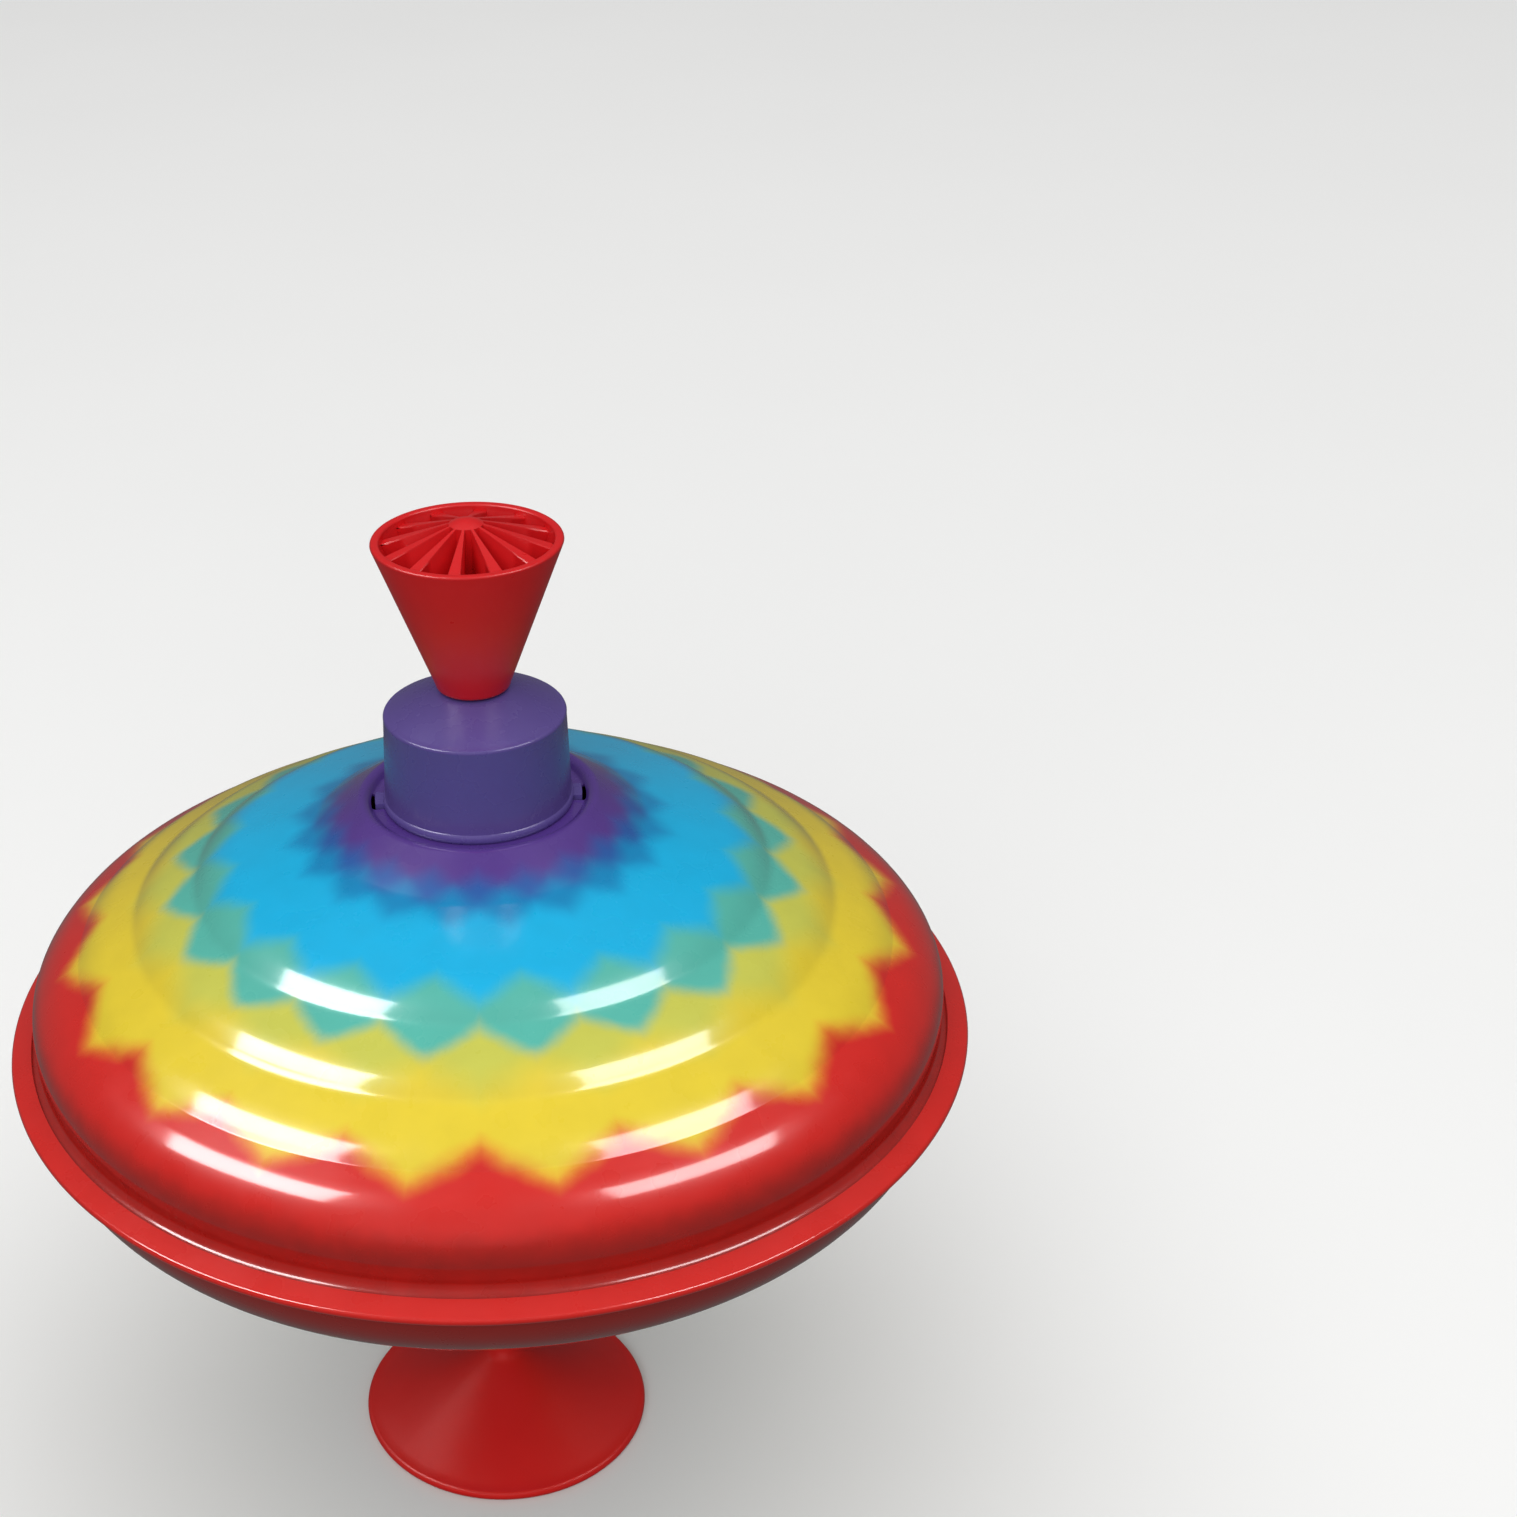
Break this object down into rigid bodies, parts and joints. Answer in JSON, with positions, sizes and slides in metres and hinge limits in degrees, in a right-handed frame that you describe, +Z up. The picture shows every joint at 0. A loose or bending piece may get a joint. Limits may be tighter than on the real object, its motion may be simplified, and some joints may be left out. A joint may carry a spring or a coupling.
{
  "type": "humming top",
  "caption": "Push-down humming top: two tin shells joined at a folded rim, moulded collar and stem, twisted rod with a ribbed knob, loose pivot foot and hidden reed plate.",
  "frame": {"origin": "on the floor, under the middle of the foot", "axes": "+Z up along the spin axis; the collar's two tongues lie on X"},
  "size_m": [0.18, 0.18, 0.2],
  "materials": {
    "upper_tin": "litho-printed enamel, glossy, rainbow bands from deep blue to red",
    "lower_tin": "litho-printed enamel, glossy, red rim band over yellow and blue",
    "red_plastic": "moulded, semi-gloss",
    "purple_plastic": "moulded, satin",
    "blue_plastic": "moulded, semi-gloss",
    "white_nylon": "moulded, satin",
    "polished_steel": "bright nickel-plated steel",
    "spring_steel": "plain hardened steel",
    "zinc_steel": "zinc-plated steel",
    "brass": "plain brass, satin"
  },
  "bodies": {
    "foot": {"foot_disc": "red_plastic", "pivot_pin": "polished_steel", "pin_clip": "spring_steel"},
    "spinner": {"lower_shell": "lower_tin", "upper_shell": "upper_tin", "collar": "purple_plastic", "rod_guide": "white_nylon", "clutch_crown": "white_nylon", "crown_washer": "zinc_steel", "centre_tube": "zinc_steel", "reed_chamber": "blue_plastic", "stem_cone": "blue_plastic", "reed_plate": "zinc_steel", "reeds": "brass", "reed_rivets": "brass", "tube_ring": "brass", "pivot_bush": "brass", "thrust_pad": "spring_steel"},
    "nut": {"drive_nut": "white_nylon", "nut_plate": "spring_steel"},
    "plunger": {"knob": "red_plastic", "twisted_rod": "polished_steel", "rod_pin": "polished_steel", "rod_stop": "zinc_steel"}
  },
  "joints": [
    {"name": "body_spin", "type": "hinge", "parent": "foot", "child": "spinner", "pos_m": [0, 0, 0.036], "axis": [0, 0, 1], "continuous": true},
    {"name": "knob_lift", "type": "slide", "parent": "spinner", "child": "plunger", "axis": [0, 0, 1], "range_m": [0, 0.075]},
    {"name": "nut_turn", "type": "hinge", "parent": "spinner", "child": "nut", "pos_m": [0, 0, 0.155], "axis": [0, 0, 1], "range_deg": [-828, 5]}
  ],
  "couplings": [
    {"joint": "nut_turn", "follows": "knob_lift", "rad_per_m": -190.4}
  ]
}
